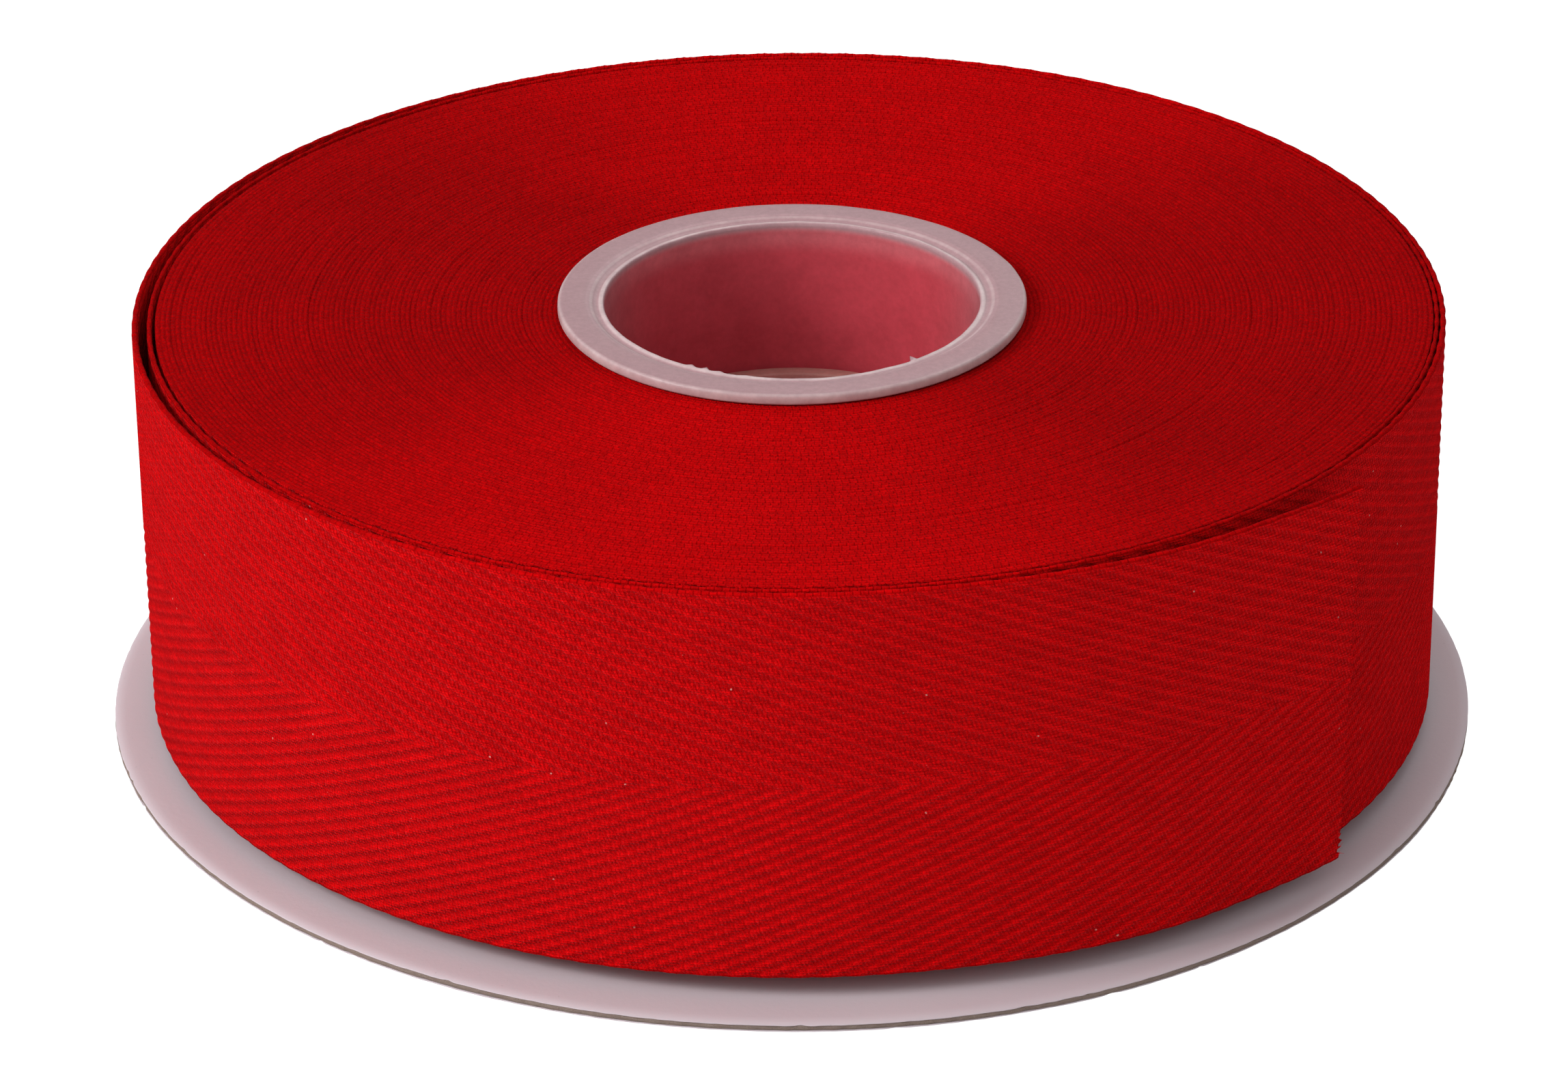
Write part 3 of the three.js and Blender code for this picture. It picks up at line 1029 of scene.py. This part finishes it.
def plastic_material():
    """Milky injection-moulded plastic: solid in the flanges, see-through in the thin tube walls, with
    painted red light in the walls and painted highlights on the flange's edges.
    """
    shader = Shader("frosted_plastic")
    place = shader.place()
    split = shader.add("ShaderNodeSeparateXYZ", {0: place})
    flat = shader.vector(split.outputs[0], split.outputs[1])
    radius = shader.add("ShaderNodeVectorMath", {0: flat}, operation="LENGTH").outputs[1]
    radii, heights = node_radii("core_upper")
    top = float(heights.max())
    rim = float(radii.max())
    bore = float(radii.min())
    tube = float(radii[heights < heights.min() + 0.01].max())
    in_wall = shader.scaled(radius, tube + 0.1, tube + 0.3, 1.0, 0.0)
    above_base = shader.scaled(split.outputs[2], 1.0, 3.0)
    wall = shader.times(in_wall, above_base)
    below_lip = shader.scaled(split.outputs[2], top - 0.55, top - 1.3)
    below_band = shader.scaled(split.outputs[2], top - 1.6, top - 3.6)
    cloud = shader.noise(place, 0.35, 2.0)
    grain = shader.noise(place, 9.0, 3.0)
    clear = shader.times(below_lip, shader.scaled(cloud, 0.3, 0.7, 0.42, 0.5))
    clear = shader.times(wall, clear)
    clear = shader.plus(clear, shader.times(shader.minus(1.0, wall), 0.08))

    # A milky white with a pink cast, partly the plastic's own tone and partly painted red light thrown
    # back from the tape.
    milk_and_painted_light = shader.mixed(cloud, colour(169, 131, 136), colour(177, 140, 144))
    # Painted red light: the tube wall below the lip takes the red of the tape behind it. It is deeper
    # below the top band, paler at grazing angles, and a pale pink on the lower half's ledge.
    painted_red_light = shader.mixed(below_band, colour(242, 122, 132), colour(226, 84, 98))
    grazing = shader.add("ShaderNodeLayerWeight", {"Blend": 0.5}).outputs["Facing"]
    painted_red_light = shader.mixed(shader.scaled(grazing, 0.3, 0.9, 0.0, 0.55), painted_red_light, milk_and_painted_light)
    lower_radii, lower_heights = node_radii("core_lower")
    ledge = float(lower_heights.max())
    lower_tube = float(lower_radii[lower_heights > ledge - 0.6].max())
    inner = shader.scaled(radius, lower_tube - 0.1, lower_tube + 0.1, 1.0, 0.0)
    on_ledge = shader.times(inner, shader.scaled(split.outputs[2], ledge - 0.9, ledge - 0.3))
    painted_red_light = shader.mixed(on_ledge, painted_red_light, colour(225, 168, 156))
    milk_and_painted_light = shader.mixed(shader.times(wall, below_lip), milk_and_painted_light, painted_red_light)
    # Painted highlights on the bore's lip, the step beside it and the flange's outer edge, on the flange
    # only.
    crest = shader.scaled(shader.distance(radius, bore + 0.3), 0.3, 0.1)
    step = shader.scaled(shader.distance(radius, bore + 1.2), 0.22, 0.05, 0.0, 0.5)
    edge = shader.scaled(radius, rim - 0.4, rim - 0.1, 0.0, 0.85)
    bright = shader.math("MAXIMUM", shader.math("MAXIMUM", crest, step), edge)
    bright = shader.times(bright, shader.scaled(cloud, 0.3, 0.7, 0.55, 1.0))
    on_flange = shader.scaled(split.outputs[2], top - 1.2, top - 0.9)
    milk_and_painted_light = shader.mixed(shader.times(bright, on_flange), milk_and_painted_light, colour(208, 184, 184))
    mottle = shader.noise(place, 1.7, 4.0, 0.65)
    milk_and_painted_light = shader.brightened(milk_and_painted_light, shader.scaled(mottle, 0.3, 0.7, 0.93, 1.07))
    relief = shader.plus(shader.times(cloud, 2.0), grain)
    inputs = {
        "Base Color": milk_and_painted_light,
        "Roughness": shader.scaled(grain, 0.3, 0.7, 0.33, 0.45),
        "IOR": 1.49,
        "Specular IOR Level": 0.45,
        "Subsurface Weight": 0.0,
        "Normal": shader.bumped(relief, 0.015),
    }
    solid = shader.add("ShaderNodeBsdfPrincipled", inputs).outputs[0]
    through = shader.add("ShaderNodeBsdfTransparent", {"Color": (0.96, 0.9, 0.9, 1.0)}).outputs[0]
    surface = shader.add("ShaderNodeMixShader", {0: clear, 1: solid, 2: through}).outputs[0]
    return shader.finish(surface)


def liner_material():
    """Smooth white paper with faint fibres."""
    shader = Shader("white_liner")
    place = shader.place()
    fibres = shader.noise(place, 1.6, 5.0, 0.65)
    clouds = shader.noise(place, 0.06, 2.0)
    specks = shader.scaled(shader.noise(place, 3.3, 1.0), 0.78, 0.82)
    # The paper's pale tone has a mauve cast that is partly painted red light thrown back from the tape.
    base = shader.mixed(clouds, colour(196, 183, 189), colour(202, 190, 195))
    base = shader.mixed(shader.times(specks, 0.3), base, colour(120, 105, 100))
    inputs = {
        "Base Color": base,
        "Roughness": 0.55,
        "Specular IOR Level": 0.3,
        "Normal": shader.bumped(fibres, 0.02),
    }
    return shader.finish(shader.add("ShaderNodeBsdfPrincipled", inputs).outputs[0])


def board_material():
    """Grey-brown recycled board, in thin plies with torn fibres at the cut."""
    shader = Shader("greyboard")
    place = shader.place()
    split = shader.add("ShaderNodeSeparateXYZ", {0: place})
    height = split.outputs[2]
    angle = shader.math("ARCTAN2", split.outputs[1], split.outputs[0])
    stretched = shader.vector(shader.times(angle, 60.0), shader.times(height, 14.0))
    fibres = shader.noise(stretched, 1.0, 4.0, 0.7)
    grain = shader.noise(place, 4.0, 4.0, 0.7)
    base = shader.mixed(fibres, colour(96, 80, 72), colour(176, 160, 150))
    base = shader.mixed(shader.times(grain, 0.5), base, colour(150, 130, 118))
    relief = shader.plus(fibres, grain)
    inputs = {
        "Base Color": base,
        "Roughness": 0.9,
        "Specular IOR Level": 0.1,
        "Normal": shader.bumped(relief, 0.12),
    }
    return shader.finish(shader.add("ShaderNodeBsdfPrincipled", inputs).outputs[0])


def adhesive_material():
    """The film of glue that holds the tape's first end on the core."""
    shader = Shader("adhesive")
    place = shader.place()
    streaks = shader.noise(place, 0.8, 3.0)
    inputs = {
        "Base Color": shader.mixed(streaks, colour(196, 150, 140), colour(220, 190, 176)),
        "Roughness": shader.scaled(streaks, 0.3, 0.7, 0.25, 0.5),
        "Normal": shader.bumped(streaks, 0.03),
    }
    return shader.finish(shader.add("ShaderNodeBsdfPrincipled", inputs).outputs[0])


def floor_material():
    """A white sweep, lit evenly enough to read as plain white."""
    shader = Shader("white_floor")
    paper = shader.add("ShaderNodeBsdfDiffuse", {"Color": (0.85, 0.85, 0.86, 1.0)}).outputs[0]
    lit = shader.add("ShaderNodeEmission", {"Color": (1.0, 1.0, 1.0, 1.0), "Strength": 1.25}).outputs[0]
    seen = shader.add("ShaderNodeLightPath", {}).outputs["Is Camera Ray"]
    share = shader.times(seen, 0.85)
    return shader.finish(shader.add("ShaderNodeMixShader", {0: share, 1: paper, 2: lit}).outputs[0])


# ---------------------------------------------------------------- studio

CAMERA_TARGET = Vector((-0.924, 0.0, 15.97)) * MM
CAMERA_DISTANCE = 696.0 * MM
CAMERA_PITCH = math.radians(26.117)
CAMERA_ROLL = math.radians(-0.444)
CAMERA_LENS = 169.17
FLOOR_SIZE = 6.0
AMBIENT = 0.5
LIT_HEIGHT = 0.02

# Each light: its name, azimuth, elevation, distance and size in metres, and power in watts.
SOFTBOXES = (
    ("key", 202.0, 34.0, 0.75, 0.3, 3.4),
    ("front fill", 234.0, 30.0, 0.9, 0.9, 1.9),
    ("back", 70.0, 40.0, 0.9, 0.5, 1.2),
    ("right fill", 345.0, 28.0, 0.9, 0.6, 0.45),
)


def build_camera():
    camera = bpy.data.cameras.new("camera")
    camera.lens = CAMERA_LENS
    camera.sensor_width = 36.0
    holder = bpy.data.objects.new("camera", camera)
    bpy.context.scene.collection.objects.link(holder)
    back = Vector((0.0, -math.cos(CAMERA_PITCH), math.sin(CAMERA_PITCH)))
    holder.location = CAMERA_TARGET + back * CAMERA_DISTANCE
    holder.rotation_mode = "QUATERNION"
    holder.rotation_quaternion = back.to_track_quat("Z", "Y") @ Quaternion((0, 0, 1), CAMERA_ROLL)
    bpy.context.scene.camera = holder


def build_floor():
    mesh = bpy.data.meshes.new("floor")
    half = FLOOR_SIZE / 2
    corners = [(-half, -half, 0), (half, -half, 0), (half, half, 0), (-half, half, 0)]
    mesh.from_pydata(corners, [], [(0, 1, 2, 3)])
    mesh.materials.append(floor_material())
    floor = bpy.data.objects.new("floor", mesh)
    bpy.context.scene.collection.objects.link(floor)


def add_softbox(name, azimuth, elevation, distance, size, power):
    """A square light that faces the object, azimuth degrees anticlockwise from +X."""
    light = bpy.data.lights.new(name, "AREA")
    light.size = size
    light.energy = power
    holder = bpy.data.objects.new(name, light)
    bpy.context.scene.collection.objects.link(holder)
    flat = math.cos(math.radians(elevation))
    turn = math.radians(azimuth)
    out = Vector((flat * math.cos(turn), flat * math.sin(turn), math.sin(math.radians(elevation))))
    holder.location = out * distance + Vector((0, 0, LIT_HEIGHT))
    holder.rotation_mode = "QUATERNION"
    holder.rotation_quaternion = out.to_track_quat("Z", "Y")


def build_studio():
    build_floor()
    build_camera()
    for softbox in SOFTBOXES:
        add_softbox(*softbox)
    world = bpy.data.worlds.new("studio")
    world.use_nodes = True
    background = world.node_tree.nodes["Background"]
    background.inputs["Color"].default_value = (1.0, 1.0, 1.0, 1.0)
    background.inputs["Strength"].default_value = AMBIENT
    bpy.context.scene.world = world
    bpy.context.scene.view_settings.view_transform = "Standard"


def dress_start_tab():
    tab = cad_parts["start_tab"]
    tab.data.materials.clear()
    tab.data.materials.append(adhesive_material())


build_roll(tape_face_material(), tape_edge_material())
build_cut_fibres(fibre_material())
build_core(plastic_material())
build_disc(board_material(), liner_material())
dress_start_tab()
build_studio()
